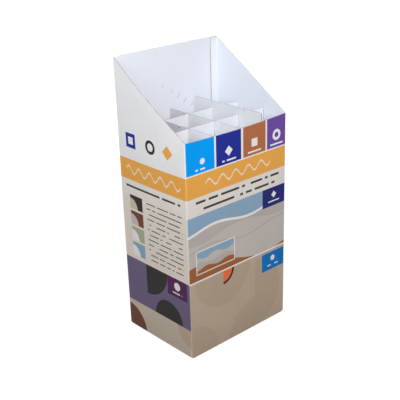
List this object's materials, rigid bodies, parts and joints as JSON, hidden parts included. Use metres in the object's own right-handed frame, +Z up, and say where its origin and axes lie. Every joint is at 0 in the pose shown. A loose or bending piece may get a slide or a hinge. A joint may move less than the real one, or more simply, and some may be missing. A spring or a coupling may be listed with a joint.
{
  "type": "counter display box",
  "caption": "Open corrugated display box with a low front, sloping sides and a high back, divided into upright cells by slotted boards.",
  "frame": {"origin": "middle of the underside, which is the bottom centre of the bounding box", "axes": "+Z up; the low printed front faces -Y and the high back wall is at +Y; +X is to the right, seen from the front"},
  "size_m": [0.4078, 0.294, 0.861],
  "materials": {
    "printed_board": "white coated board, printed outside in fields of colour, satin",
    "white_board": "plain white board, matt"
  },
  "bodies": {
    "root": {"carton": "printed_board", "divider_left": "white_board", "divider_middle": "white_board", "divider_right": "white_board", "cross_divider_front": "white_board", "cross_divider_rear": "white_board"}
  },
  "joints": []
}
